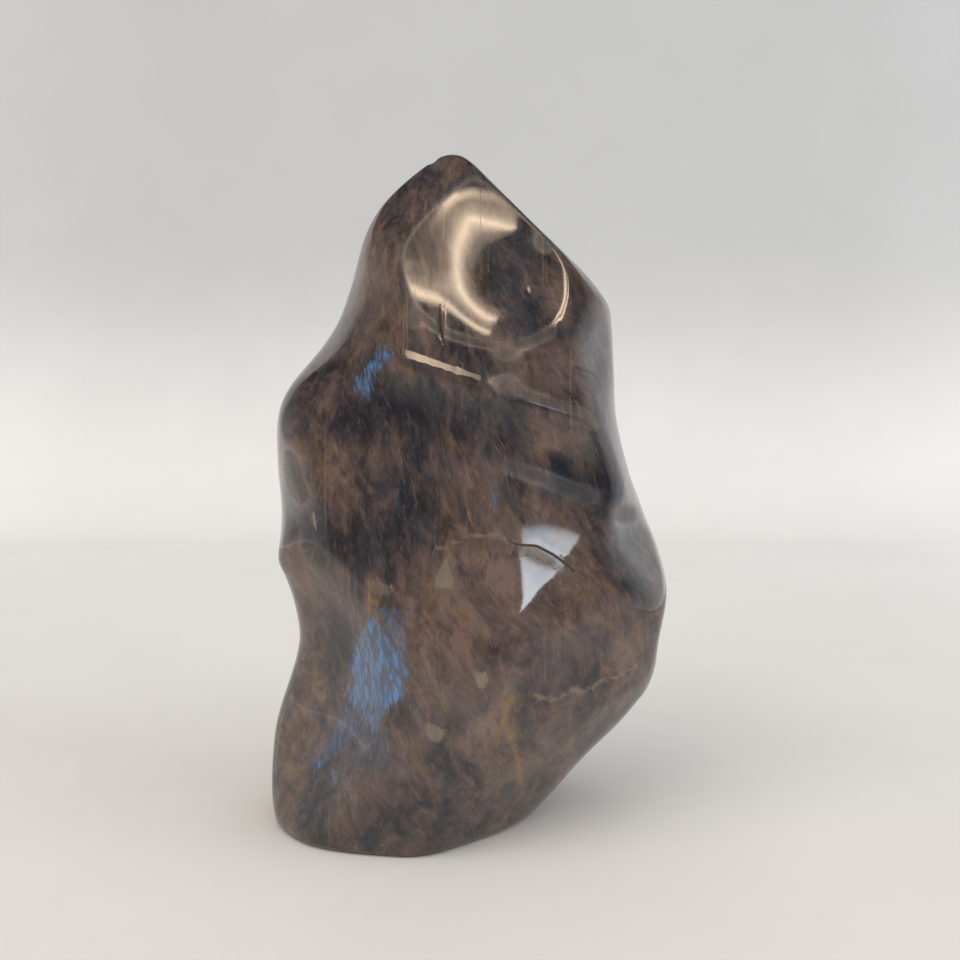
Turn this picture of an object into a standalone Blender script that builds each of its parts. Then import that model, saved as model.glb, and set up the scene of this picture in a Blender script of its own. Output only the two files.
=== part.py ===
"""Free-form flame carving in dark moonstone: one polished stone on a flat sawn base.

A flame is ground by hand from one lump. Each pass of the wheel leaves a long facet that runs up the stone
or a shallow dish, and neighbouring passes meet in soft ridges. The model follows that: every facet is
a wall with its own upright profile (PASSES) or a dish or plane (DISHES), the stone is what lies inside all
of them, and SOFT gives the width of the rounded ridge between a facet and the ones before it.

Frame: +Z up, the flat base on Z = 0, the widest front face towards -Y, origin at the middle of the
stone's box on the base plane. Lengths in the tables are millimetres; azimuth 0 faces -Y, 90 faces +X.
"""

import math

import bmesh
import bpy
import numpy as np

# ---------------------------------------------------------------- driving dimensions (mm, degrees)
MM = 0.001
HEIGHT = 118.0            # base to tip
BOX_MIDDLE = (-2.02, -2.98)  # middle of the stone's box, in the coordinates of the tables below
CORE_LOW = (-8.0, -2.0, 16.0)    # a line well inside the stone: the blank is drawn out around it
CORE_HIGH = (-1.0, 0.0, 98.0)
BLANK_STEPS = 7           # subdivisions of the round blank
RELAX_STEPS = 14          # passes that even out the spacing of the points
FACES_KEPT = 0.105        # share of the blank's triangles that stays
DISH_BEND = 0.55          # slope at which a convex dish stops bending away
RIPPLE = 0.022            # height of the hand polisher's ripples
RIPPLE_LENGTH = (9.0, 26.0)
RIPPLE_COUNT = 14

# Long facets: name, azimuth, middle of the bend across, radius across (negative is hollow), slope at which
# the bend stops, lean (mm of height per mm across), and the upright profile as (height, reach); a third
# value marks a sharp corner in the profile.
PASSES = [
    ("left", -90, 0.0, 30.0, 0.9, 0.20, [
        (0, 39.2), (3.8, 41.0), (7.6, 42.0), (11.4, 41.2), (15.2, 39.2), (22.7, 35.8), (30.1, 33.3), (33.8, 32.8),
        (37.5, 33.4), (44.9, 37.2), (48.7, 41.0, 1), (52.2, 38.6), (57.5, 36.9), (63.0, 37.2), (70.1, 38.2),
        (73.6, 38.0), (77.2, 37.0), (80.7, 34.0), (84.2, 29.4), (87.7, 26.3), (94.6, 23.4), (101.5, 21.3),
        (108.3, 18.4), (111.7, 16.6), (115.1, 13.8), (118, 10.4)]),
    ("right", 90, 2.0, 30.0, 0.9, 0.0, [
        (0, 10.0), (5.9, 15.5), (11, 20.2), (16.3, 26.4), (22.3, 34.9, 1), (30.1, 33.0), (37.5, 34.2), (41.2, 34.9),
        (44.9, 34.7), (48.5, 33.6), (52.2, 31.4), (59.4, 27.8), (66.5, 25.6), (73.6, 24.2), (80.7, 24.3),
        (87.7, 24.4), (92.4, 24.0), (94.6, 21.9), (99.8, 16.3), (106.6, 9.2), (113.4, 2.1), (118, -2.7)]),
    ("front_right", 38, 6.0, 100.0, 0.6, 0.5, [
        (0, 24), (12, 25.5), (24, 26.4), (36, 27.4), (46, 27.0), (54, 26.4), (62, 26.2), (69, 25.4), (76, 24.0),
        (83, 22.0), (96, 18.6), (108, 16), (118, 13)]),
    ("front", 0, -10.0, 60.0, 0.8, 0.33, [
        (-12, 24.0), (-4, 25.4), (0, 26.2), (4, 27.0), (12, 28.0), (24, 28.2), (36, 27.3), (40, 26.75), (44, 25.9),
        (48, 24.9), (52, 23.9), (56, 22.9), (60, 21.9), (61.5, 21.5), (66.8, 20.05, 1), (71.4, 19.6), (74.6, 19.75),
        (79.1, 20.5, 1), (81.1, 19.6, 1), (87, 18.42), (94, 16.0), (102, 13.0), (110, 9.5), (118, 5.0)]),
    ("front_left", -55, -6.0, 34.0, 0.9, 0.25, [
        (0, 37.6), (8, 39.9), (14, 39.3), (22, 36.5), (30, 33.9), (37, 33.9), (45, 37.8, 1), (50, 35.9), (57, 34.8),
        (64, 35.3), (70, 36.3), (76, 35.1), (83, 30.6), (90, 28.2), (98, 25.6), (106, 21.2), (112, 16.0),
        (118, 10)]),
    ("right_front", 62, 0.0, -240.0, 0.9, 0.0, [
        (0, 38), (24, 37), (34, 35.0), (40, 32.2), (46.2, 28.6), (48.9, 27.3), (51.5, 26.4), (54.1, 26.0), (58, 26.4),
        (62.4, 26.6, 1), (66.5, 25.6), (71.8, 24.1), (78.1, 22.1), (83.5, 20.3), (87, 20.2), (92, 22), (98, 26),
        (118, 30)]),
    ("back", 180, 2.0, 40.0, 0.8, 0.34, [
        (-6, 18.0), (0, 19.5), (12, 21.8), (26, 22.0), (38, 19.8), (50, 18.6), (59, 19.8, 1), (70, 16.0),
        (84, 13.2), (98, 10.0), (110, 6.0), (118, 2.5)]),
    ("back_left", -132, 0.0, 40.0, 0.8, -0.3, [
        (0, 34.5), (10, 35.5), (20, 33.4), (32, 30.6), (44, 31.0), (54, 33.8, 1), (62, 31.2), (74, 28.0), (84, 24),
        (96, 20), (108, 15.5), (118, 8)]),
    ("back_right", 132, 0.0, 40.0, 0.8, 0.25, [
        (0, 19), (12, 24.4), (24, 29.4), (38, 32.4), (46, 31.8, 1), (58, 27.0), (70, 24.0), (82, 24.2), (92, 22),
        (104, 12), (118, 2)]),
]
# Dishes and planes: name, a point on it, azimuth and elevation it faces, turn about that direction, and its
# radii across and along (negative is hollow); an eighth value replaces DISH_BEND.
DISHES = [
    ("tip_left", (-11.2, -6.0, 110.4), -33, 43, 0, 40, -200),
    ("left_high", (-20.6, -7.4, 97.0), -60, 12, 0, 40, -24),
    ("tip_cap", (-5.8, 0.0, HEIGHT + 0.5), 0, 84, 0, 15, 14, 1.5),
    ("scoop", (0.3, -10.25, 97.2), 18.3, 24.7, 0, -110, -50),
    ("right_top", (20.7, -7.6, 92.0), 60, 26, 0, 60, -28),
    ("left_scoop", (-24.0, -14.2, 30.0), -50, -3, 12, -75, -33),
    ("undercut", (15.3, -13.4, 14.0), 45, -29, 0, 200, -200),
    ("window", (12.0, -22.2, 49.0), 31, 3, 0, 300, 300),
]
SOFT = 2.4                # width of a ridge where SOFTS names none
SOFTS = {"base": 1.6, "tip_cap": 1.8, "left_high": 2.6, "scoop": 0.15, "right_top": 5.4, "right_front": 2.0,
         "undercut": 2.6, "left": 3.0, "front_left": 4.0, "left_scoop": 3.0, "back_left": 4.0, "back_right": 4.0,
         "window": 2.0}
SCOOP_ROLL = (10.5, 13.5, 0.75)     # the scoop's rim is rolled wider to its right: from x, to x, wider by

COLOUR = (0.030, 0.022, 0.018, 1.0)
ROUGHNESS = 0.16


# ---------------------------------------------------------------- the stone as a rule
def profile_table(knots, step=0.25, low=-16.0, high=134.0, blur=0.8):
    """A smooth curve through the knots, with its corners eased over about 2 mm: heights, reaches, slopes."""
    z = np.array([k[0] for k in knots], float)
    r = np.array([k[1] for k in knots], float)
    corner = [len(k) > 2 for k in knots]
    gap, slope, last = np.diff(z), np.diff(r) / np.diff(z), len(z) - 1
    below, above = np.zeros(len(z)), np.zeros(len(z))
    for i in range(len(z)):
        if i in (0, last):
            below[i] = above[i] = slope[0 if i == 0 else -1]
        elif not corner[i]:
            below[i] = above[i] = (slope[i - 1] * gap[i] + slope[i] * gap[i - 1]) / (gap[i - 1] + gap[i])
    for i in range(1, last):
        if corner[i]:
            below[i] = 1.5 * slope[i - 1] - 0.5 * above[i - 1]
            above[i] = 1.5 * slope[i] - 0.5 * below[i + 1]
    heights = np.arange(low, high + step / 2, step)
    k = np.clip(np.searchsorted(z, heights, side="right") - 1, 0, last - 1)
    t = (heights - z[k]) / gap[k]
    reach = ((1 + 2 * t) * (1 - t) ** 2 * r[k] + t * (1 - t) ** 2 * gap[k] * above[k]
             + t * t * (3 - 2 * t) * r[k + 1] + t * t * (t - 1) * gap[k] * below[k + 1])
    reach = np.where(heights < z[0], r[0] + (heights - z[0]) * below[0], reach)
    reach = np.where(heights > z[-1], r[-1] + (heights - z[-1]) * above[-1], reach)
    width = int(math.ceil(3 * blur / step))
    bell = np.exp(-0.5 * (np.arange(-width, width + 1) * step / blur) ** 2)
    ends = np.arange(1, width + 1)
    padded = np.concatenate([reach[0] + ends[::-1] * (reach[0] - reach[1]), reach,
                             reach[-1] + ends * (reach[-1] - reach[-2])])
    reach = np.convolve(padded, bell / bell.sum(), "valid")
    return heights, reach, np.gradient(reach, heights)


def bend(across, radius, limit):
    """How far a surface of this radius has bent away at a distance across it, and its slope there."""
    if radius < 0:
        return across * across / (2 * radius), across / radius
    stretch = np.sqrt(1 + (across / (limit * radius)) ** 2)
    return limit * limit * radius * (stretch - 1), across / (radius * stretch)


def dish_axes(azimuth, elevation, turn):
    a, e, t = (math.radians(v) for v in (azimuth, elevation, turn))
    out = np.array([math.sin(a) * math.cos(e), -math.cos(a) * math.cos(e), math.sin(e)])
    side = np.array([math.cos(a), math.sin(a), 0.0])
    up = np.cross(out, side)
    return out, math.cos(t) * side + math.sin(t) * up, -math.sin(t) * side + math.cos(t) * up


def ripple_waves():
    rng = np.random.default_rng(11)
    heading = rng.normal(size=(RIPPLE_COUNT, 3))
    heading /= np.linalg.norm(heading, axis=1)[:, None]
    length = rng.uniform(*RIPPLE_LENGTH, RIPPLE_COUNT)
    height = RIPPLE * rng.uniform(0.3, 1.0, RIPPLE_COUNT) * length / RIPPLE_LENGTH[1]
    return heading * (2 * math.pi / length)[:, None], rng.uniform(0, 2 * math.pi, RIPPLE_COUNT), height


TABLES = [profile_table(p[6]) for p in PASSES]
AXES = [dish_axes(*d[2:5]) for d in DISHES]
WAVES = ripple_waves()


def facet_heights(p):
    """Distance of each point outside each facet, with the facet's name."""
    for (name, azimuth, middle, radius, limit, lean, _), (heights, reach, slope) in zip(PASSES, TABLES, strict=True):
        a = math.radians(azimuth)
        out = p[:, 0] * math.sin(a) - p[:, 1] * math.cos(a)
        across = p[:, 0] * math.cos(a) + p[:, 1] * math.sin(a)
        z = p[:, 2] + lean * across
        dz = np.interp(z, heights, slope)
        away, tilt = bend(across - middle, radius, limit)
        yield name, (out - np.interp(z, heights, reach) + away) / np.sqrt(1 + dz * dz + (tilt - dz * lean) ** 2)
    for dish, (out, side, up) in zip(DISHES, AXES, strict=True):
        limit = dish[7] if len(dish) > 7 else DISH_BEND
        d = p - np.array(dish[1])
        away_1, tilt_1 = bend(d @ side, dish[5], limit)
        away_2, tilt_2 = bend(d @ up, dish[6], limit)
        yield dish[0], (d @ out + away_1 + away_2) / np.sqrt(1 + tilt_1 ** 2 + tilt_2 ** 2)


def soft_max(a, b, width):
    ease = np.maximum(width - np.abs(a - b), 0) / width
    return np.maximum(a, b) + ease * ease * width * 0.25


def stone(p):
    """About how far each point (mm) lies outside the stone; negative inside."""
    total = None
    for name, height in facet_heights(p):
        width = SOFTS.get(name, SOFT)
        if name == "scoop":
            width = width + SCOOP_ROLL[2] * np.clip((p[:, 0] - SCOOP_ROLL[0]) / (SCOOP_ROLL[1] - SCOOP_ROLL[0]), 0, 1)
        total = height if total is None else soft_max(total, height, width)
    waves, phase, size = WAVES
    total = total + np.sin(p @ waves.T + phase) @ size
    return soft_max(total, -p[:, 2], SOFTS["base"])


def stone_normal(p, step=0.03):
    g = np.stack([(stone(p + e) - stone(p - e)) / (2 * step) for e in np.eye(3) * step], axis=1)
    return g / np.maximum((g * g).sum(axis=1), 1e-6)[:, None]


# ---------------------------------------------------------------- modelling
def empty_scene():
    for item in list(bpy.data.objects):
        bpy.data.objects.remove(item, do_unlink=True)


def new_collection(name):
    collection = bpy.data.collections.new(name)
    bpy.context.scene.collection.children.link(collection)
    return collection


def stone_material():
    material = bpy.data.materials.new("dark_moonstone")
    material.use_nodes = True
    shader = material.node_tree.nodes["Principled BSDF"]
    shader.inputs["Base Color"].default_value = COLOUR
    shader.inputs["Roughness"].default_value = ROUGHNESS
    shader.inputs["Metallic"].default_value = 0.0
    return material


def points_of(bm):
    return np.array([v.co[:] for v in bm.verts])


def move_points(bm, p):
    for vert, co in zip(bm.verts, p, strict=True):
        vert.co = co


def draw_out(ball):
    """Each point of the unit ball goes out from the core line until it meets the stone's surface."""
    low, high = np.array(CORE_LOW), np.array(CORE_HIGH)
    share = np.clip(0.5 + 0.62 * ball[:, 2:3], 0, 1)
    start = low + share * (high - low)
    near, far = np.zeros(len(ball)), np.full(len(ball), 75.0)
    for _ in range(26):
        middle = (near + far) / 2
        inside = stone(start + ball * middle[:, None]) < 0
        near, far = np.where(inside, middle, near), np.where(inside, far, middle)
    return start + ball * ((near + far) / 2)[:, None]


def carve(collection):
    bpy.ops.mesh.primitive_ico_sphere_add(subdivisions=BLANK_STEPS, radius=1.0)
    carving = bpy.context.object
    carving.name = carving.data.name = "flame_carving"
    for user in list(carving.users_collection):
        user.objects.unlink(carving)
    collection.objects.link(carving)
    bm = bmesh.new()
    bm.from_mesh(carving.data)
    ball = points_of(bm)
    move_points(bm, draw_out(ball / np.linalg.norm(ball, axis=1)[:, None]))
    for _ in range(RELAX_STEPS):
        bmesh.ops.smooth_vert(bm, verts=bm.verts, factor=0.5, use_axis_x=True, use_axis_y=True, use_axis_z=True)
        p = points_of(bm)
        for _ in range(2):
            p = p - stone(p)[:, None] * stone_normal(p)
        move_points(bm, p)
    p = points_of(bm)
    p[:, 2] = np.where(p[:, 2] < 0.004, 0.0, p[:, 2])
    p[:, :2] -= np.array(BOX_MIDDLE)
    move_points(bm, p * MM)
    bm.to_mesh(carving.data)
    bm.free()
    carving.data.shade_smooth()
    fewer = carving.modifiers.new("fewer faces", "DECIMATE")
    fewer.decimate_type = "COLLAPSE"
    fewer.ratio = FACES_KEPT
    fewer.use_collapse_triangulate = True
    carving.data.materials.append(stone_material())
    return carving


def main():
    empty_scene()
    carve(new_collection("moonstone_flame_carving"))


main()
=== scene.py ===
"""Looks of the dark-moonstone flame carving: the stone's fine mesh, its polish and mineral pattern, studio and camera.

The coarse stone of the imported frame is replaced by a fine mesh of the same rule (facets of the polisher's wheel met in
soft ridges), so both have one shape. Lengths in the tables are millimetres; the mesh is made in metres.
"""

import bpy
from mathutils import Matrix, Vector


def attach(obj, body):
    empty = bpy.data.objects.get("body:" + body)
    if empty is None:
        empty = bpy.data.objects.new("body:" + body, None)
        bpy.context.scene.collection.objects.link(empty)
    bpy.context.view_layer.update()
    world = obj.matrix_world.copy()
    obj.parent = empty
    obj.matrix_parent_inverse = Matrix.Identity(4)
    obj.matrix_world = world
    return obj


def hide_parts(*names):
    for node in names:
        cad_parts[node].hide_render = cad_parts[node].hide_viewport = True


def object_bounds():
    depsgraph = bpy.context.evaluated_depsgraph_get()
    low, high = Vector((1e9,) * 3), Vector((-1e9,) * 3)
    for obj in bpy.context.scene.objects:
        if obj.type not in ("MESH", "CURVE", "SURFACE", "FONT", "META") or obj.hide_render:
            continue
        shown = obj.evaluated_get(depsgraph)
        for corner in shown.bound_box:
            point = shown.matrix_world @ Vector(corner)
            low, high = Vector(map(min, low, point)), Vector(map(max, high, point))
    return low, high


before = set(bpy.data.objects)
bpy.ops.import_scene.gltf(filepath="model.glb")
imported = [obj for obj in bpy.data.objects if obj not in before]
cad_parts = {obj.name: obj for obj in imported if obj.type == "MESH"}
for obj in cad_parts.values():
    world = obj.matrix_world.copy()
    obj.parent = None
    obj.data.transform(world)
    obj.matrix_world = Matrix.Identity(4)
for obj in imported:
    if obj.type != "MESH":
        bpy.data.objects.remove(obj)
CAD_BOX = [list(v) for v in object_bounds()]

import math

import bpy
import numpy as np
from mathutils import Matrix, Vector

# ---------------------------------------------------------------- driving dimensions (mm, degrees)
MM = 0.001
HEIGHT = 118.0            # base to tip
BOX_MIDDLE = (-2.02, -2.98)  # middle of the stone's box, in the coordinates of the tables below
CORE_LOW = (-8.0, -2.0, 16.0)    # a line well inside the stone: the blank is drawn out around it
CORE_HIGH = (-1.0, 0.0, 98.0)
DISH_BEND = 0.55          # slope at which a convex dish stops bending away
RIPPLE = 0.022            # height of the hand polisher's ripples
RIPPLE_LENGTH = (9.0, 26.0)
RIPPLE_COUNT = 14

# Long facets: name, azimuth, middle of the bend across, radius across (negative is hollow), slope at which
# the bend stops, lean (mm of height per mm across), and the upright profile as (height, reach); a third
# value marks a sharp corner in the profile.
PASSES = [
    ("left", -90, 0.0, 30.0, 0.9, 0.20, [
        (0, 39.2), (3.8, 41.0), (7.6, 42.0), (11.4, 41.2), (15.2, 39.2), (22.7, 35.8), (30.1, 33.3), (33.8, 32.8),
        (37.5, 33.4), (44.9, 37.2), (48.7, 41.0, 1), (52.2, 38.6), (57.5, 36.9), (63.0, 37.2), (70.1, 38.2),
        (73.6, 38.0), (77.2, 37.0), (80.7, 34.0), (84.2, 29.4), (87.7, 26.3), (94.6, 23.4), (101.5, 21.3),
        (108.3, 18.4), (111.7, 16.6), (115.1, 13.8), (118, 10.4)]),
    ("right", 90, 2.0, 30.0, 0.9, 0.0, [
        (0, 10.0), (5.9, 15.5), (11, 20.2), (16.3, 26.4), (22.3, 34.9, 1), (30.1, 33.0), (37.5, 34.2), (41.2, 34.9),
        (44.9, 34.7), (48.5, 33.6), (52.2, 31.4), (59.4, 27.8), (66.5, 25.6), (73.6, 24.2), (80.7, 24.3),
        (87.7, 24.4), (92.4, 24.0), (94.6, 21.9), (99.8, 16.3), (106.6, 9.2), (113.4, 2.1), (118, -2.7)]),
    ("front_right", 38, 6.0, 100.0, 0.6, 0.5, [
        (0, 24), (12, 25.5), (24, 26.4), (36, 27.4), (46, 27.0), (54, 26.4), (62, 26.2), (69, 25.4), (76, 24.0),
        (83, 22.0), (96, 18.6), (108, 16), (118, 13)]),
    ("front", 0, -10.0, 60.0, 0.8, 0.33, [
        (-12, 24.0), (-4, 25.4), (0, 26.2), (4, 27.0), (12, 28.0), (24, 28.2), (36, 27.3), (40, 26.75), (44, 25.9),
        (48, 24.9), (52, 23.9), (56, 22.9), (60, 21.9), (61.5, 21.5), (66.8, 20.05, 1), (71.4, 19.6), (74.6, 19.75),
        (79.1, 20.5, 1), (81.1, 19.6, 1), (87, 18.42), (94, 16.0), (102, 13.0), (110, 9.5), (118, 5.0)]),
    ("front_left", -55, -6.0, 34.0, 0.9, 0.25, [
        (0, 37.6), (8, 39.9), (14, 39.3), (22, 36.5), (30, 33.9), (37, 33.9), (45, 37.8, 1), (50, 35.9), (57, 34.8),
        (64, 35.3), (70, 36.3), (76, 35.1), (83, 30.6), (90, 28.2), (98, 25.6), (106, 21.2), (112, 16.0),
        (118, 10)]),
    ("right_front", 62, 0.0, -240.0, 0.9, 0.0, [
        (0, 38), (24, 37), (34, 35.0), (40, 32.2), (46.2, 28.6), (48.9, 27.3), (51.5, 26.4), (54.1, 26.0), (58, 26.4),
        (62.4, 26.6, 1), (66.5, 25.6), (71.8, 24.1), (78.1, 22.1), (83.5, 20.3), (87, 20.2), (92, 22), (98, 26),
        (118, 30)]),
    ("back", 180, 2.0, 40.0, 0.8, 0.34, [
        (-6, 18.0), (0, 19.5), (12, 21.8), (26, 22.0), (38, 19.8), (50, 18.6), (59, 19.8, 1), (70, 16.0),
        (84, 13.2), (98, 10.0), (110, 6.0), (118, 2.5)]),
    ("back_left", -132, 0.0, 40.0, 0.8, -0.3, [
        (0, 34.5), (10, 35.5), (20, 33.4), (32, 30.6), (44, 31.0), (54, 33.8, 1), (62, 31.2), (74, 28.0), (84, 24),
        (96, 20), (108, 15.5), (118, 8)]),
    ("back_right", 132, 0.0, 40.0, 0.8, 0.25, [
        (0, 19), (12, 24.4), (24, 29.4), (38, 32.4), (46, 31.8, 1), (58, 27.0), (70, 24.0), (82, 24.2), (92, 22),
        (104, 12), (118, 2)]),
]
# Dishes and planes: name, a point on it, azimuth and elevation it faces, turn about that direction, and its
# radii across and along (negative is hollow); an eighth value replaces DISH_BEND.
DISHES = [
    ("tip_left", (-11.2, -6.0, 110.4), -33, 43, 0, 40, -200),
    ("left_high", (-20.6, -7.4, 97.0), -60, 12, 0, 40, -24),
    ("tip_cap", (-5.8, 0.0, HEIGHT + 0.5), 0, 84, 0, 15, 14, 1.5),
    ("scoop", (0.3, -10.25, 97.2), 18.3, 24.7, 0, -110, -50),
    ("right_top", (20.7, -7.6, 92.0), 60, 26, 0, 60, -28),
    ("left_scoop", (-24.0, -14.2, 30.0), -50, -3, 12, -75, -33),
    ("undercut", (15.3, -13.4, 14.0), 45, -29, 0, 200, -200),
    ("window", (12.0, -22.2, 49.0), 31, 3, 0, 300, 300),
]
SOFT = 2.4                # width of a ridge where SOFTS names none
SOFTS = {"base": 1.6, "tip_cap": 1.8, "left_high": 2.6, "scoop": 0.15, "right_top": 5.4, "right_front": 2.0,
         "undercut": 2.6, "left": 3.0, "front_left": 4.0, "left_scoop": 3.0, "back_left": 4.0, "back_right": 4.0,
         "window": 2.0}
SCOOP_ROLL = (10.5, 13.5, 0.75)     # the scoop's rim is rolled wider to its right: from x, to x, wider by



# ---------------------------------------------------------------- the stone as a rule
def profile_table(knots, step=0.25, low=-16.0, high=134.0, blur=0.8):
    """A smooth curve through the knots, with its corners eased over about 2 mm: heights, reaches, slopes."""
    z = np.array([k[0] for k in knots], float)
    r = np.array([k[1] for k in knots], float)
    corner = [len(k) > 2 for k in knots]
    gap, slope, last = np.diff(z), np.diff(r) / np.diff(z), len(z) - 1
    below, above = np.zeros(len(z)), np.zeros(len(z))
    for i in range(len(z)):
        if i in (0, last):
            below[i] = above[i] = slope[0 if i == 0 else -1]
        elif not corner[i]:
            below[i] = above[i] = (slope[i - 1] * gap[i] + slope[i] * gap[i - 1]) / (gap[i - 1] + gap[i])
    for i in range(1, last):
        if corner[i]:
            below[i] = 1.5 * slope[i - 1] - 0.5 * above[i - 1]
            above[i] = 1.5 * slope[i] - 0.5 * below[i + 1]
    heights = np.arange(low, high + step / 2, step)
    k = np.clip(np.searchsorted(z, heights, side="right") - 1, 0, last - 1)
    t = (heights - z[k]) / gap[k]
    reach = ((1 + 2 * t) * (1 - t) ** 2 * r[k] + t * (1 - t) ** 2 * gap[k] * above[k]
             + t * t * (3 - 2 * t) * r[k + 1] + t * t * (t - 1) * gap[k] * below[k + 1])
    reach = np.where(heights < z[0], r[0] + (heights - z[0]) * below[0], reach)
    reach = np.where(heights > z[-1], r[-1] + (heights - z[-1]) * above[-1], reach)
    width = int(math.ceil(3 * blur / step))
    bell = np.exp(-0.5 * (np.arange(-width, width + 1) * step / blur) ** 2)
    ends = np.arange(1, width + 1)
    padded = np.concatenate([reach[0] + ends[::-1] * (reach[0] - reach[1]), reach,
                             reach[-1] + ends * (reach[-1] - reach[-2])])
    reach = np.convolve(padded, bell / bell.sum(), "valid")
    return heights, reach, np.gradient(reach, heights)


def bend(across, radius, limit):
    """How far a surface of this radius has bent away at a distance across it, and its slope there."""
    if radius < 0:
        return across * across / (2 * radius), across / radius
    stretch = np.sqrt(1 + (across / (limit * radius)) ** 2)
    return limit * limit * radius * (stretch - 1), across / (radius * stretch)


def dish_axes(azimuth, elevation, turn):
    a, e, t = (math.radians(v) for v in (azimuth, elevation, turn))
    out = np.array([math.sin(a) * math.cos(e), -math.cos(a) * math.cos(e), math.sin(e)])
    side = np.array([math.cos(a), math.sin(a), 0.0])
    up = np.cross(out, side)
    return out, math.cos(t) * side + math.sin(t) * up, -math.sin(t) * side + math.cos(t) * up


def ripple_waves():
    rng = np.random.default_rng(11)
    heading = rng.normal(size=(RIPPLE_COUNT, 3))
    heading /= np.linalg.norm(heading, axis=1)[:, None]
    length = rng.uniform(*RIPPLE_LENGTH, RIPPLE_COUNT)
    height = RIPPLE * rng.uniform(0.3, 1.0, RIPPLE_COUNT) * length / RIPPLE_LENGTH[1]
    return heading * (2 * math.pi / length)[:, None], rng.uniform(0, 2 * math.pi, RIPPLE_COUNT), height


TABLES = [profile_table(p[6]) for p in PASSES]
AXES = [dish_axes(*d[2:5]) for d in DISHES]
WAVES = ripple_waves()


def facet_heights(p):
    """Distance of each point outside each facet, with the facet's name."""
    for (name, azimuth, middle, radius, limit, lean, _), (heights, reach, slope) in zip(PASSES, TABLES, strict=True):
        a = math.radians(azimuth)
        out = p[:, 0] * math.sin(a) - p[:, 1] * math.cos(a)
        across = p[:, 0] * math.cos(a) + p[:, 1] * math.sin(a)
        z = p[:, 2] + lean * across
        dz = np.interp(z, heights, slope)
        away, tilt = bend(across - middle, radius, limit)
        yield name, (out - np.interp(z, heights, reach) + away) / np.sqrt(1 + dz * dz + (tilt - dz * lean) ** 2)
    for dish, (out, side, up) in zip(DISHES, AXES, strict=True):
        limit = dish[7] if len(dish) > 7 else DISH_BEND
        d = p - np.array(dish[1])
        away_1, tilt_1 = bend(d @ side, dish[5], limit)
        away_2, tilt_2 = bend(d @ up, dish[6], limit)
        yield dish[0], (d @ out + away_1 + away_2) / np.sqrt(1 + tilt_1 ** 2 + tilt_2 ** 2)


def soft_max(a, b, width):
    ease = np.maximum(width - np.abs(a - b), 0) / width
    return np.maximum(a, b) + ease * ease * width * 0.25


def stone(p):
    """About how far each point (mm) lies outside the stone; negative inside."""
    total = None
    for name, height in facet_heights(p):
        width = SOFTS.get(name, SOFT)
        if name == "scoop":
            width = width + SCOOP_ROLL[2] * np.clip((p[:, 0] - SCOOP_ROLL[0]) / (SCOOP_ROLL[1] - SCOOP_ROLL[0]), 0, 1)
        total = height if total is None else soft_max(total, height, width)
    waves, phase, size = WAVES
    total = total + np.sin(p @ waves.T + phase) @ size
    return soft_max(total, -p[:, 2], SOFTS["base"])


def stone_normal(p, step=0.03):
    g = np.stack([(stone(p + e) - stone(p - e)) / (2 * step) for e in np.eye(3) * step], axis=1)
    return g / np.maximum((g * g).sum(axis=1), 1e-6)[:, None]

# ---------------------------------------------------------------- camera
# The view is a 960 x 960 picture: focal length in pixels, tilt down, and place in the tables' coordinates.
FOCAL = 1400.0
TILT = math.radians(8.05)
EYE = np.array([0.0, -249.252, 96.0])
AHEAD = np.array([0.0, math.cos(TILT), -math.sin(TILT)])
OVER = np.array([0.0, math.sin(TILT), math.cos(TILT)])
SHIFT = np.array([*BOX_MIDDLE, 0.0])      # tables' coordinates minus this are the frame's


def picture_place(p):
    """Where points (tables' mm) fall in the picture."""
    q = p - EYE
    deep = q @ AHEAD
    return 480 + FOCAL * q[:, 0] / deep, 480 - FOCAL * (q @ OVER) / deep


def make_camera():
    cam = bpy.data.objects.new("camera", bpy.data.cameras.new("camera"))
    bpy.context.scene.collection.objects.link(cam)
    cam.location = Vector((EYE - SHIFT) * MM)
    cam.rotation_euler = (math.radians(90) - TILT, 0, 0)
    cam.data.sensor_width = 36.0
    cam.data.lens = 36.0 * FOCAL / 960
    cam.data.clip_start, cam.data.clip_end = 0.01, 20
    bpy.context.scene.camera = cam


# ---------------------------------------------------------------- the stone's fine mesh
COARSE = 5                  # subdivisions of the blank while its points are evened out
FINE = 2
RELAX = 60


def subdivided(mesh, levels, name):
    """The mesh after so many Catmull-Clark steps."""
    ob = bpy.data.objects.new(name, mesh)
    bpy.context.scene.collection.objects.link(ob)
    sub = ob.modifiers.new("finer", "SUBSURF")
    sub.levels = sub.render_levels = levels
    sub.use_limit_surface = False
    made = bpy.data.meshes.new_from_object(ob.evaluated_get(bpy.context.evaluated_depsgraph_get()))
    bpy.data.objects.remove(ob, do_unlink=True)
    return made


def read_points(mesh):
    p = np.empty(len(mesh.vertices) * 3)
    mesh.vertices.foreach_get("co", p)
    return p.reshape(-1, 3)


def write_points(mesh, p):
    mesh.vertices.foreach_set("co", np.ascontiguousarray(p, dtype=np.float32).ravel())
    mesh.update()


def onto_stone(p, times=2):
    for _ in range(times):
        p = p - stone(p)[:, None] * stone_normal(p)
    return p


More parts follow.
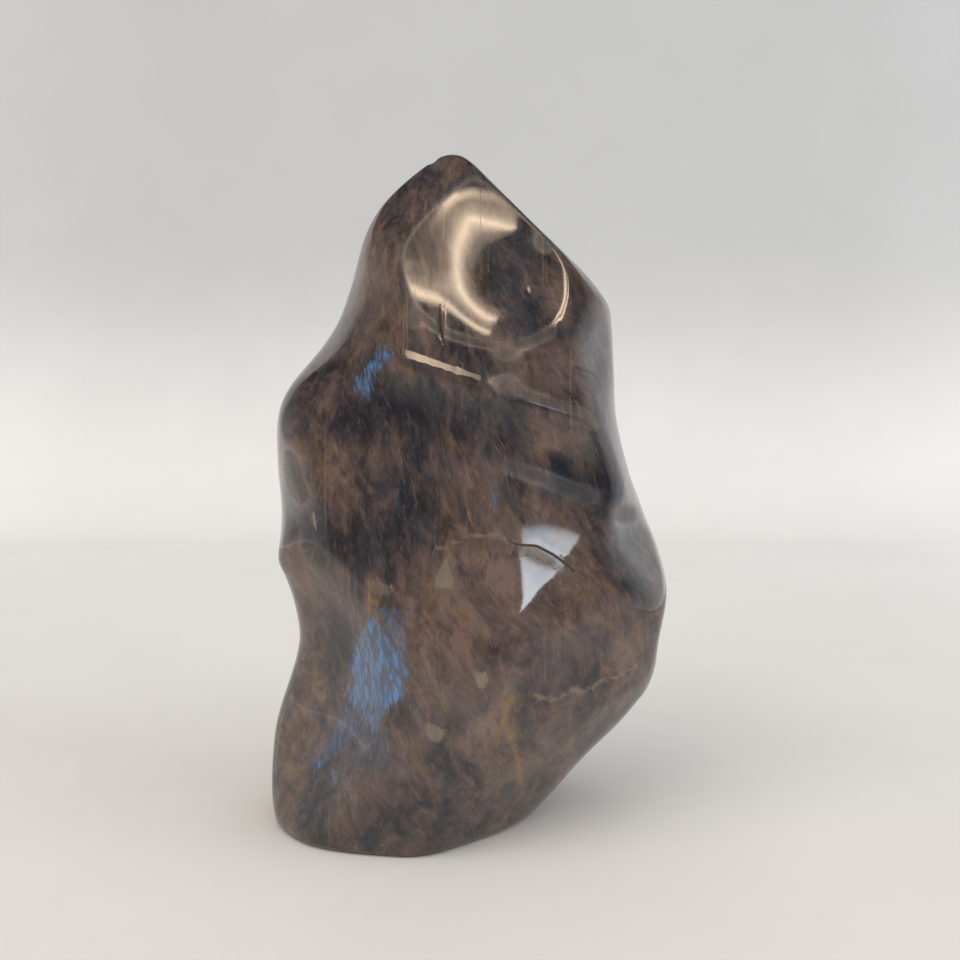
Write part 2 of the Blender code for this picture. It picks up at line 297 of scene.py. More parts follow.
def blank():
    """A round blank drawn out onto the stone, its points evenly spread over it."""
    import bmesh
    bm = bmesh.new()
    bmesh.ops.create_cube(bm, size=2.0)
    cube = bpy.data.meshes.new("blank")
    bm.to_mesh(cube)
    bm.free()
    mesh = subdivided(cube, COARSE, "blank")
    ball = read_points(mesh)
    ball /= np.linalg.norm(ball, axis=1)[:, None]
    low, high = np.array(CORE_LOW), np.array(CORE_HIGH)
    start = low + np.clip(0.5 + 0.62 * ball[:, 2:3], 0, 1) * (high - low)
    near, far = np.zeros(len(ball)), np.full(len(ball), 75.0)
    for _ in range(22):
        middle = (near + far) / 2
        inside = stone(start + ball * middle[:, None]) < 0
        near, far = np.where(inside, middle, near), np.where(inside, far, middle)
    p = start + ball * ((near + far) / 2)[:, None]
    edges = np.empty(len(mesh.edges) * 2, dtype=np.int64)
    mesh.edges.foreach_get("vertices", edges)
    edges = edges.reshape(-1, 2)
    count = np.bincount(edges.ravel(), minlength=len(p))[:, None]
    for i in range(RELAX):
        total = np.stack([np.bincount(edges[:, 0], p[edges[:, 1], k], len(p))
                          + np.bincount(edges[:, 1], p[edges[:, 0], k], len(p)) for k in range(3)], axis=1)
        p = 0.4 * p + 0.6 * total / count
        p = onto_stone(p, 1)
    write_points(mesh, onto_stone(p))
    return mesh


def hits(u, v, place, size, turn=0.0):
    """1 in the middle of a round patch of the picture, falling to 0 around it."""
    c, s = math.cos(math.radians(turn)), math.sin(math.radians(turn))
    du, dv = u - place[0], v - place[1]
    a, b = (c * du + s * dv) / size[0], (c * dv - s * du) / size[1]
    return np.exp(-(a * a + b * b))


def along(u, v, line):
    """Signed distance in pixels across a line of the picture, and how far along it (0 to 1) each place is."""
    line = np.array(line, float)
    best, side, share = np.full(len(u), 1e9), np.zeros(len(u)), np.zeros(len(u))
    runs = np.linalg.norm(np.diff(line, axis=0), axis=1)
    done = 0.0
    for (x0, y0), (x1, y1), run in zip(line[:-1], line[1:], runs, strict=True):
        t = np.clip(((u - x0) * (x1 - x0) + (v - y0) * (y1 - y0)) / (run * run), 0, 1)
        d = np.hypot(u - x0 - t * (x1 - x0), v - y0 - t * (y1 - y0))
        s = np.sign((u - x0) * (y1 - y0) - (v - y0) * (x1 - x0))
        closer = d < best
        best, side, share = (np.where(closer, x, y) for x, y in
                             ((d, best), (s, side), ((done + t * run) / runs.sum(), share)))
        done += run
    return best * np.where(side == 0, 1, side), share


def depth_in(u, v, outline):
    """Signed distance in pixels into an outline of the picture: positive inside."""
    pts = np.array(outline, float)
    d, _ = along(u, v, np.vstack([pts, pts[:1]]))
    inside = np.zeros(len(u), bool)
    for (x0, y0), (x1, y1) in zip(pts, np.roll(pts, -1, axis=0), strict=True):
        if y0 == y1:
            continue
        cross = ((y0 > v) != (y1 > v)) & (u < (x1 - x0) * (v - y0) / (y1 - y0) + x0)
        inside ^= cross
    return np.where(inside, np.abs(d), -np.abs(d))


def step_up(x, low, high):
    t = np.clip((x - low) / (high - low), 0, 1)
    return t * t * (3 - 2 * t)


CRACK = [(508, 541), (519, 545), (537, 546), (554, 555), (570, 567), (574, 572)]
SEAM = [(428, 553), (440, 549), (456, 542), (476, 536), (495, 535), (508, 541)]


def relief(p, u, v, front):
    """Millimetres that the surface stands out (or in) from the polisher's facets: the crack, chips and the nicked tip."""
    out = np.zeros(len(p))
    d, t = along(u, v, CRACK)
    out -= 0.035 * np.exp(-(d / 1.4) ** 2) * front
    below = step_up(-d, 0.0, 2.0) * step_up(26 + d, 0, 18)
    out -= 0.012 * below * step_up(t, 0.02, 0.4) * step_up(1.0 - t, 0.0, 0.05) * front
    out -= 0.35 * hits(u, v, (431, 160), (6, 4)) * step_up(p[:, 2], 112, 116)
    out -= 0.35 * hits(u, v, (441, 326), (1.6, 10), 4) * front
    rng = np.random.default_rng(5)
    for _ in range(26):
        centre = p[rng.integers(len(p))]
        q = (p - centre) / np.array([0.9, 0.9, 1.6]) / rng.uniform(0.5, 1.1)
        out -= 0.07 * np.exp(-(q * q).sum(axis=1))
    return out


def make_stone():
    mesh = blank()
    for _ in range(FINE):
        mesh = subdivided(mesh, 1, "finer")
        write_points(mesh, onto_stone(read_points(mesh), 2))
    mesh.name = "moonstone_flame"
    p = read_points(mesh)
    n = stone_normal(p)
    n /= np.linalg.norm(n, axis=1)[:, None]
    look = EYE - p
    facing = (n * look).sum(axis=1) / np.linalg.norm(look, axis=1)
    front = step_up(facing, 0.02, 0.16)
    u, v = picture_place(p)
    p = p + n * relief(p, u, v, front)[:, None]
    p[:, 2] = np.maximum(p[:, 2], 0)
    p[:, 2] = np.where(p[:, 2] < 0.004, 0, p[:, 2])
    write_points(mesh, np.clip((p - SHIFT) * MM, CAD_BOX[0], CAD_BOX[1]))
    mark(mesh, p, u, v, front)
    mesh.shade_smooth()
    ob = bpy.data.objects.new("moonstone_flame", mesh)
    bpy.context.scene.collection.objects.link(ob)
    return ob


# ---------------------------------------------------------------- where the mineral's own features lie
# Places are in the picture; a mark counts only on the side that the camera sees.
TONES = [  # middle, half sizes, turn, amount: negative is dark and smoky, positive brown
    ((443, 172), (26, 12), -30, -0.15), ((400, 215), (22, 18), -50, -0.25), ((385, 265), (28, 26), 0, 0.50),
    ((372, 305), (24, 36), 0, 0.42), ((425, 330), (26, 26), -25, 0.30), ((528, 250), (22, 36), -40, -0.35),
    ((535, 320), (24, 38), -15, -0.85), ((487, 262), (16, 26), 0, -0.35), ((590, 325), (14, 34), 0, -0.55),
    ((560, 300), (10, 40), 0, 0.18), ((470, 350), (60, 16), 14, 0.10), ((575, 382), (24, 22), 30, 0.25),
    ((415, 400), (56, 20), 8, -0.62), ((340, 425), (50, 18), 0, -0.45), ((516, 416), (20, 22), -20, -0.75),
    ((470, 425), (30, 26), -20, -0.35), ((340, 455), (52, 16), 12, 0.12), ((300, 425), (22, 30), 0, 0.05),
    ((460, 460), (34, 20), 10, 0.22), ((600, 468), (17, 36), -12, -0.60), ((545, 470), (26, 34), -20, -0.35), ((556, 490), (44, 18), 18, -0.40),
    ((422, 505), (24, 36), -28, -0.85), ((370, 480), (14, 26), 0, 0.18), ((330, 530), (58, 30), 10, -0.50),
    ((300, 480), (18, 22), 0, -0.30), ((350, 560), (30, 14), 10, -0.35), ((455, 515), (16, 26), -25, 0.20),
    ((480, 505), (18, 14), 0, -0.12), ((475, 585), (56, 40), 0, 1.0), ((560, 520), (38, 24), 20, -0.05),
    ((338, 650), (14, 52), 8, -0.95), ((440, 650), (36, 50), -5, 0.85), ((400, 590), (24, 24), 0, 0.22),
    ((500, 620), (30, 44), 0, 0.40), ((560, 610), (40, 40), 0, 0.48), ((610, 620), (22, 44), 0, 0.12),
    ((641, 598), (13, 24), 0, -0.35), ((565, 662), (34, 20), -8, -0.30), ((500, 672), (12, 20), 0, -0.10),
    ((620, 660), (30, 18), -20, 0.50), ((300, 720), (18, 60), 12, 0.60), ((400, 712), (17, 14), 0, -0.60),
    ((455, 722), (16, 12), -30, -0.62), ((432, 700), (20, 22), 0, 0.25), ((362, 750), (24, 24), 0, -0.75),
    ((500, 745), (34, 34), 0, 0.10), ((440, 780), (30, 20), 0, -0.22), ((385, 790), (26, 16), 0, 0.12),
    ((470, 765), (14, 24), -20, -0.28), ((300, 790), (28, 34), 0, 0.15), ((360, 820), (60, 20), 5, 0.10),
    ((330, 740), (18, 18), 0, 0.05), ((590, 700), (36, 14), -18, 0.30), ((545, 760), (30, 40), -40, 0.20),
]
PAINTED_SHEEN_PATCHES = [  # outlines of the patches where the feldspar's blue schiller is painted into the colour as a painted sheen, and their strength
    ([(377, 344), (396, 353), (392, 362), (384, 366), (377, 373), (372, 385), (369, 400), (361, 398), (354, 388),
      (357, 377), (366, 366), (374, 358)], 1.0),
    ([(371, 616), (382, 628), (397, 648), (407, 660), (407, 680), (405, 696), (396, 704), (384, 715), (378, 730),
      (370, 732), (364, 718), (352, 705), (346, 694), (350, 668), (354, 640), (361, 634), (366, 622)], 1.0),
    ([(376, 606), (405, 612), (408, 640), (406, 664), (392, 642), (380, 624)], 0.38),
    ([(345, 700), (372, 722), (366, 742), (350, 744), (330, 760), (322, 770), (316, 762), (324, 744), (336, 720)], 0.34),
    ([(317, 757), (324, 758), (323, 768), (318, 772), (314, 765)], 0.8),
    ([(329, 768), (337, 774), (339, 782), (333, 782)], 0.8),
    ([(489, 493), (499, 492), (499, 510), (491, 512)], 0.45),
    ([(352, 722), (392, 735), (394, 762), (374, 772), (350, 764)], 0.12),
]
RUST = [  # lines along which the stone is stained: places, half width, amount
    ([(377, 579), (369, 592), (369, 616), (364, 640), (355, 665), (344, 698)], 1.7, 1.0),
    ([(511, 700), (504, 712), (505, 724), (512, 742), (518, 760), (520, 782)], 5.0, 0.85),
    ([(534, 678), (528, 700), (516, 712)], 3.0, 0.5),
    ([(544, 640), (532, 672)], 2.2, 0.4),
    ([(361, 259), (390, 243), (414, 228), (428, 212)], 3.2, 0.45),
    ([(571, 350), (570, 400), (572, 432)], 1.4, 0.9),
    ([(571, 262), (577, 300), (573, 330)], 2.0, 0.25),
    ([(464, 500), (468, 512), (473, 528)], 1.6, 0.8),
    ([(484, 540), (484, 590)], 1.3, 0.6),
    ([(561, 496), (568, 512), (576, 528)], 1.6, 0.5),
    ([(576, 574), (579, 600), (574, 622)], 2.0, 0.5),
    ([(618, 640), (624, 660), (640, 676)], 2.0, 0.3),
    ([(512, 604), (514, 616)], 1.4, 1.0), ([(464, 632), (467, 656)], 1.6, 0.7), ([(390, 583), (393, 590)], 1.4, 1.2),
]
PALE = [  # outlines of pale cleavage flakes and their strength
    ([(445, 557), (451, 570), (456, 590), (446, 589), (433, 588), (436, 574)], 0.75),
    ([(475, 672), (486, 671), (489, 684), (482, 690), (475, 684)], 0.8),
    ([(424, 722), (433, 724), (446, 730), (440, 744), (431, 742), (426, 735)], 0.6),
    ([(406, 700), (416, 706), (426, 726), (418, 724)], 0.3),
    ([(575, 400), (592, 412), (600, 428), (588, 432), (578, 420)], 0.35),
    ([(366, 578), (378, 580), (394, 588), (390, 596), (370, 594)], 0.4),
    ([(520, 546), (536, 548), (552, 558), (560, 564), (546, 562), (532, 556)], 0.55),
    ([(312, 512), (314, 511), (317, 530), (315, 532)], 1.1),
    ([(312, 546), (313, 546), (314, 554), (312, 554)], 0.7),
]
BANDS = [  # wavy edges below which the stone turns lighter: line, width, amount
    ([(530, 694), (540, 697), (556, 700), (566, 694), (574, 689), (582, 692), (600, 682), (618, 676), (640, 664)], 4.0, 0.8),
    (SEAM, 3.2, 0.8),
    ([(414, 640), (432, 672), (452, 690), (470, 694)], 3.0, 0.35),
]
DARK_LINES = [([(440, 308), (441, 326), (443, 344)], 1.5, 1.0), (CRACK, 1.2, 1.0),
              ([(484, 354), (487, 372)], 0.9, 0.6), ([(574, 366), (590, 372), (598, 380)], 2.0, 0.7)]


# spots and lines where the polish is made dull, and where the colour is painted darker as painted shade
DULL_SHADED_SPOTS = [((508, 387), (16, 13), 25, 1.0), ((505, 351), (14, 11), 0, 0.9), ((413, 320), (11, 10), 0, 0.8),
        ((545, 242), (12, 12), 0, 0.8), ((629, 514), (13, 13), 0, 0.6), ((538, 557), (24, 7), 25, 0.42)]
DULL_SHADED_LINES = [([(508, 466), (530, 474), (545, 479), (560, 485), (575, 491), (594, 496)], 7.5, 0.9),
              ([(512, 390), (530, 395), (545, 400), (560, 405), (575, 410), (592, 417)], 5.5, 0.85)]


def mark(mesh, p, u, v, front):
    """Writes the features as soft fields over the mesh; the material sharpens them along the grain."""
    def put(name, values):
        made = mesh.attributes.new(name, "FLOAT", "POINT")
        made.data.foreach_set("value", np.ascontiguousarray(values, dtype=np.float32))

    tone = np.zeros(len(p))
    for place, size, turn, amount in TONES:
        tone += amount * hits(u, v, place, size, turn)
    painted_sheen = np.full(len(p), -9.0)
    power = np.zeros(len(p))
    for outline, strength in PAINTED_SHEEN_PATCHES:
        d = depth_in(u, v, outline) / 5.7
        power = np.where(d > painted_sheen, strength, power)
        painted_sheen = np.maximum(painted_sheen, d)
    put("painted_sheen", np.where(front > 0.3, painted_sheen, -9))
    put("painted_sheen_power", power)
    rust = np.zeros(len(p))
    for line, width, amount in RUST:
        d, _ = along(u, v, line)
        rust = np.maximum(rust, amount * np.exp(-(d / width) ** 2))
    put("rust", rust * front)
    pale, pale_power = np.full(len(p), -9.0), np.zeros(len(p))
    for outline, strength in PALE:
        d = depth_in(u, v, outline) / 5.7
        pale_power = np.where(d > pale, strength, pale_power)
        pale = np.maximum(pale, d)
    put("pale", np.where(front > 0.3, pale, -9))
    put("pale_power", pale_power)
    band = np.zeros(len(p))
    for line, width, amount in BANDS:
        d, t = along(u, v, line)
        band = np.maximum(band, amount * np.exp(-(d / width) ** 2) * step_up(t * (1 - t), 0, 0.03))
    put("band", band * front)
    crack, crack_on = np.full(len(p), 9.0), np.zeros(len(p))
    for line, width, amount in DARK_LINES:
        d, t = along(u, v, line)
        near = np.abs(d) / width < np.abs(crack)
        crack = np.where(near, d / width, crack)
        crack_on = np.where(near, amount * ((t > 0) & (t < 1)), crack_on)
    # places where the polish is made dull and the colour is painted darker as painted shade: the scoop's rim (except
    # where it is rolled wide at the right) and a few dull spots
    others = None
    for name, height in facet_heights(p):
        if name == "scoop":
            scoop = height
        else:
            others = height if others is None else soft_max(others, height, SOFTS.get(name, SOFT))
    dull_and_painted_shade = np.exp(-((scoop - others) / 0.38) ** 2) * (1 - step_up(hits(u, v, (572, 300), (20, 52)), 0.25, 0.5))
    for place, size, turn, amount in DULL_SHADED_SPOTS:
        dull_and_painted_shade = np.maximum(dull_and_painted_shade, amount * step_up(hits(u, v, place, size, turn), 0.0, 0.9))
    for line, width, amount in DULL_SHADED_LINES:
        dull_and_painted_shade = np.maximum(dull_and_painted_shade, amount * np.exp(-(along(u, v, line)[0] / width) ** 2))
    put("dull_and_painted_shade", dull_and_painted_shade * front)
    # painted shade: the tone is darkened where the polish is made dull
    put("tone", (tone - 0.25 * dull_and_painted_shade) * front)
    put("crack", crack)
    put("crack_on", crack_on * front)


# ---------------------------------------------------------------- material
class Graph:
    """Short names for a material's nodes."""

    def __init__(self, name):
        self.material = bpy.data.materials.new(name)
        self.material.use_nodes = True
        self.nodes = self.material.node_tree.nodes
        self.links = self.material.node_tree.links
        self.shader = self.nodes["Principled BSDF"]

    def node(self, kind, inputs=(), **props):
        n = self.nodes.new(kind)
        for k, value in props.items():
            setattr(n, k, value)
        for k, value in (inputs.items() if isinstance(inputs, dict) else enumerate(inputs)):
            self.put(n.inputs[k], value)
        return n

    def put(self, socket, value):
        if isinstance(value, bpy.types.NodeSocket):
            self.links.new(value, socket)
        else:
            socket.default_value = value

    def math(self, op, *values, clamp=False):
        return self.node("ShaderNodeMath", values, operation=op, use_clamp=clamp).outputs[0]

    def add(self, a, b): return self.math("ADD", a, b)
    def sub(self, a, b): return self.math("SUBTRACT", a, b)
    def mul(self, a, b): return self.math("MULTIPLY", a, b)

    def sum(self, *terms):
        """Each term is a socket or (socket, factor); a plain number is a constant."""
        total = None
        for term in terms:
            value = self.mul(*term) if isinstance(term, tuple) else term
            total = value if total is None else self.add(total, value)
        return total

    def ease(self, x, low, high, out_low=0.0, out_high=1.0):
        """Smooth step from low to high (either way round)."""
        if low > high:
            low, high, out_low, out_high = high, low, out_high, out_low
        n = self.node("ShaderNodeMapRange", {0: x, 1: low, 2: high, 3: out_low, 4: out_high},
                      interpolation_type="SMOOTHSTEP")
        return n.outputs[0]

    def scaled(self, v, factors, offset=(0.0, 0.0, 0.0)):
        n = self.node("ShaderNodeVectorMath", (v, factors), operation="MULTIPLY")
        return self.node("ShaderNodeVectorMath", (n.outputs[0], offset), operation="ADD").outputs[0]

    def noise(self, v, scale, detail=3.0, rough=0.55, twist=0.0, colour=False):
        n = self.node("ShaderNodeTexNoise",
                      {"Vector": v, "Scale": scale, "Detail": detail, "Roughness": rough, "Distortion": twist})
        return n.outputs["Color" if colour else "Fac"]

    def cells(self, v, scale, feature="F1", jitter=1.0, out="Distance"):
        n = self.node("ShaderNodeTexVoronoi", {"Vector": v, "Scale": scale, "Randomness": jitter}, feature=feature)
        return n.outputs[out]

    def blend(self, fac, a, b, mode="MIX"):
        n = self.node("ShaderNodeMix", data_type="RGBA", blend_type=mode, clamp_factor=True)
        self.put(n.inputs[0], fac)
        self.put(n.inputs[6], a)
        self.put(n.inputs[7], b)
        return n.outputs[2]

    def ramp(self, fac, stops):
        n = self.node("ShaderNodeValToRGB", (fac,))
        bar = n.color_ramp
        while len(bar.elements) < len(stops):
            bar.elements.new(0.5)
        for element, (place, colour) in zip(bar.elements, stops, strict=True):
            element.position, element.color = place, (*colour, 1)
        return n.outputs[0]

    def mark(self, name):
        return self.node("ShaderNodeAttribute", attribute_name=name, attribute_type="GEOMETRY").outputs["Fac"]


def stone_finish():
    g = Graph("dark_moonstone_polished")
    here = g.node("ShaderNodeTexCoord").outputs["Object"]
    mm = g.scaled(here, (1000, 1000, 1000), tuple(SHIFT))
    # slow wander, so that no grain line is straight
    wander = g.noise(mm, 0.045, 2, colour=True)
    wander = g.node("ShaderNodeVectorMath", (wander, (0.5, 0.5, 0.5)), operation="SUBTRACT").outputs[0]
    wander = g.node("ShaderNodeVectorMath", {0: wander, "Scale": 9.0}, operation="SCALE").outputs[0]
    bent = g.node("ShaderNodeVectorMath", (mm, wander), operation="ADD").outputs[0]
    split = g.node("ShaderNodeSeparateXYZ", (bent,))
    x, y, z = split.outputs
    flat = g.node("ShaderNodeSeparateXYZ", (mm,))
    # the grain leans: upright at the left side, steeply down to the right elsewhere
    lean = g.ease(flat.outputs[0], -30.0, 10.0, 0.06, 0.36)
    across = g.add(x, g.mul(lean, z))
    grain = g.node("ShaderNodeCombineXYZ", (across, y, z)).outputs[0]

    def fibres(fx, fy, fz, detail, rough, twist=0.0, offset=0.0):
        return g.noise(g.scaled(grain, (fx, fy, fz), (offset, offset * 0.7, -offset)), 1.0, detail, rough, twist)

    zones = g.noise(mm, 0.060, 2, 0.5)
    blotch = fibres(0.15, 0.15, 0.105, 3, 0.55, 0.9, 3.1)
    clots = fibres(0.38, 0.36, 0.26, 4, 0.58, 0.9, 8.3)
    mottle = fibres(0.95, 0.90, 0.66, 4, 0.62, 1.0, 15.3)
    streak = fibres(1.70, 1.50, 0.56, 3, 0.60, 0.6, 5.7)
    thread = fibres(3.2, 2.8, 0.75, 3, 0.60, 0.2, 12.9)
    hair = fibres(6.5, 6.0, 1.6, 2, 0.60, 0.0, 21.3)
    tone = g.sum((g.sub(zones, 0.5), 1.0), (g.sub(blotch, 0.5), 1.5), (g.sub(clots, 0.5), 1.05),
                 (g.sub(mottle, 0.5), 0.54), (g.sub(streak, 0.5), 0.14), (g.mark("tone"), 0.42), 0.50)
    base = g.ramp(tone, [(0.05, (0.024, 0.024, 0.031)), (0.28, (0.045, 0.039, 0.042)),
                         (0.50, (0.084, 0.062, 0.058)), (0.72, (0.130, 0.089, 0.076)),
                         (0.97, (0.184, 0.128, 0.104))])
    # it turns reddish, olive and smoky grey from place to place
    red = g.ease(fibres(0.24, 0.24, 0.12, 3, 0.6, 0.0, 40.2), 0.40, 0.60)
    olive = g.ease(fibres(0.19, 0.19, 0.13, 3, 0.6, 0.5, 52.0), 0.50, 0.68)
    grey = g.ease(fibres(0.15, 0.15, 0.09, 3, 0.6, 0.5, 91.0), 0.47, 0.62)
    base = g.blend(g.mul(red, 0.42), base, (1.16, 0.97, 0.93, 1), "MULTIPLY")
    base = g.blend(g.mul(olive, 0.8), base, (1.05, 1.03, 0.74, 1), "MULTIPLY")
    base = g.blend(g.mul(grey, 0.50), base, g.blend(0.55, base, (0.080, 0.081, 0.087, 1)))
    light = g.blend(red, (0.205, 0.160, 0.125, 1), (0.205, 0.118, 0.088, 1))
    here_lit = g.ease(fibres(0.30, 0.30, 0.16, 3, 0.6, 0.0, 33.0), 0.38, 0.62, 0.20, 1.0)
    amount = g.mul(g.ease(streak, 0.56, 0.80), g.mul(here_lit, 0.30))
    base = g.blend(amount, base, light)
    base = g.blend(g.mul(g.ease(streak, 0.44, 0.24), 0.16), base, (0.040, 0.035, 0.038, 1))
    base = g.blend(g.mul(g.ease(thread, 0.62, 0.78), g.mul(here_lit, 0.32)), base,
                   g.blend(0.5, light, (0.30, 0.225, 0.17, 1)))
    base = g.blend(g.mul(g.ease(thread, 0.38, 0.22), 0.12), base, (0.036, 0.031, 0.034, 1))
    # long straight needles, a little off the grain
    needle = g.noise(g.scaled(g.node("ShaderNodeCombineXYZ", (g.add(x, g.mul(z, 0.36)), y, z)).outputs[0],
                              (2.3, 1.9, 0.055), (7, 3, 50)), 1.0, 2, 0.5)
    base = g.blend(g.mul(g.ease(needle, 0.64, 0.72), 0.30), base, (0.27, 0.195, 0.145, 1))
    shade = g.ease(hair, 0.25, 0.75, 0.93, 1.07)
    base = g.blend(1.0, base, g.node("ShaderNodeCombineColor", (shade, shade, shade)).outputs[0], "MULTIPLY")
    # rust: specks along the grain and the stained lines
    speck = g.mul(g.ease(fibres(1.5, 1.3, 0.36, 3, 0.6, 0.0, 60.4), 0.635, 0.72), g.ease(tone, 0.3, 0.6))
    stain = g.ease(g.sum(g.mark("rust"), (g.sub(thread, 0.5), 1.3), (g.sub(clots, 0.5), 0.9)), 0.34, 0.95)
    rust = g.math("MAXIMUM", g.mul(speck, 0.6), g.mul(stain, 0.72))
    base = g.blend(rust, base, g.blend(hair, (0.175, 0.088, 0.034, 1), (0.36, 0.215, 0.10, 1)))
    # cleavage: thin upright sheets that cross the stone, seen as straight lines
    sheets = g.noise(g.node("ShaderNodeCombineXYZ", (flat.outputs[0], g.mul(flat.outputs[1], 0.04), 0.0)).outputs[0],
                     1.9, 1, 0.4)
    breaks = g.noise(g.node("ShaderNodeCombineXYZ", (g.mul(flat.outputs[0], 0.25), g.mul(y, 0.05),
                                                     g.mul(flat.outputs[2], 0.05))).outputs[0], 1.0, 3, 0.6)
    sheet = g.mul(g.ease(sheets, 0.688, 0.705), g.ease(breaks, 0.50, 0.60))
    base = g.blend(g.mul(sheet, 0.42), base, (0.24, 0.165, 0.10, 1))
    # pale flakes and the wavy lighter borders
    flake = g.ease(g.sum(g.mark("pale"), (g.sub(thread, 0.5), 1.6), (g.sub(hair, 0.5), 0.9)), -0.10, 0.30)
    base = g.blend(g.mul(flake, g.mul(g.mark("pale_power"), 0.8)), base, g.blend(hair, (0.20, 0.165, 0.125, 1),
                                                                                  (0.33, 0.27, 0.20, 1)))
    band = g.ease(g.sum(g.mark("band"), (g.sub(clots, 0.5), 1.2), (g.sub(thread, 0.5), 0.8)), 0.30, 0.80)
    base = g.blend(g.mul(band, 0.55), base, (0.27, 0.195, 0.13, 1))
    # painted sheen: the feldspar's blue schiller is painted into the base colour, broken into slivers along the grain
    sliver = g.cells(g.scaled(grain, (0.55, 0.4, 0.17), (3, 1, 2)), 1.0, "DISTANCE_TO_EDGE")
    broken = g.sum(g.mark("painted_sheen"), (g.sub(streak, 0.5), 3.0), (g.sub(thread, 0.5), 1.8), (g.sub(mottle, 0.5), 2.0))
    painted_sheen_mix = g.mul(g.ease(broken, -0.35, 0.85), g.ease(g.add(sliver, g.mul(g.sub(thread, 0.5), 0.10)), 0.0, 0.10, 0.35, 1.0))
    painted_sheen_mix = g.mul(painted_sheen_mix, g.mark("painted_sheen_power"))
    blue = g.blend(g.ease(fibres(0.8, 0.7, 0.30, 3, 0.6, 0.3, 77.0), 0.35, 0.65), (0.085, 0.115, 0.175, 1), (0.12, 0.25, 0.47, 1))
    base = g.blend(g.mul(painted_sheen_mix, 0.92), base, blue)
    # cracks
    crack = g.mul(g.ease(g.math("ABSOLUTE", g.mark("crack")), 1.25, 0.45), g.mark("crack_on"))
    base = g.blend(g.mul(crack, 0.9), base, (0.030, 0.016, 0.010, 1))

    rough = g.sum((g.ease(mottle, 0.3, 0.7), 0.03), (rust, 0.06), (crack, 0.35), (flake, 0.05), (sheet, 0.06),
                  (g.mark("dull_and_painted_shade"), 0.55), 0.035)
    # relief of the polish: fine upright ribs, softer grain, pits
    ribs = g.noise(g.scaled(mm, (3.2, 2.6, 0.16)), 1.0, 3, 0.6)
    fine = g.noise(g.scaled(mm, (9.0, 8.0, 1.1), (5, 3, 1)), 1.0, 2, 0.5)
    pits = g.ease(g.noise(g.scaled(mm, (1.6, 1.6, 0.9), (9, 9, 9)), 1.0, 2, 0.5), 0.24, 0.14)
    height = g.sum((ribs, 0.0006), (fine, 0.00006), (streak, 0.0004), (pits, -0.030), (crack, -0.03), (sheet, -0.004),
                   (flake, 0.004))
    bump = g.node("ShaderNodeBump", {"Height": height, "Distance": 0.001, "Strength": 1.0})
    s = g.shader.inputs
    g.links.new(base, s["Base Color"])
    g.links.new(rough, s["Roughness"])
    g.links.new(bump.outputs[0], s["Normal"])
    s["IOR"].default_value = 1.53
    s["Metallic"].default_value = 0.0
    s["Specular IOR Level"].default_value = 0.5
    s["Coat Weight"].default_value = 0.0
    return g.material


# ---------------------------------------------------------------- lamps and windows that the polish mirrors
def rays_at(u, v):
    ray = (AHEAD[None] + (np.asarray(u, float)[:, None] - 480) / FOCAL * np.array([[1.0, 0, 0]])
           - (np.asarray(v, float)[:, None] - 480) / FOCAL * OVER[None])
    return ray / np.linalg.norm(ray, axis=1)[:, None]


def mirrored_on(facet, u, v, away):
    """Where things have to stand, so many mm away, to be mirrored by one facet (as if it went on past its rim)."""
    def height(p):
        return dict(facet_heights(p))[facet]
    ray = rays_at(u, v)
    t = np.full(len(ray), 205.0)
    for _ in range(70):
        t += np.clip(0.9 * height(EYE + ray * t[:, None]), -6, 6)
    p = EYE + ray * t[:, None]
    n = np.stack([height(p + e) - height(p - e) for e in np.eye(3) * 0.05], axis=1)
    n /= np.linalg.norm(n, axis=1)[:, None]
    r = ray - 2 * (ray * n).sum(axis=1)[:, None] * n
    return (p + r * away - SHIFT) * MM


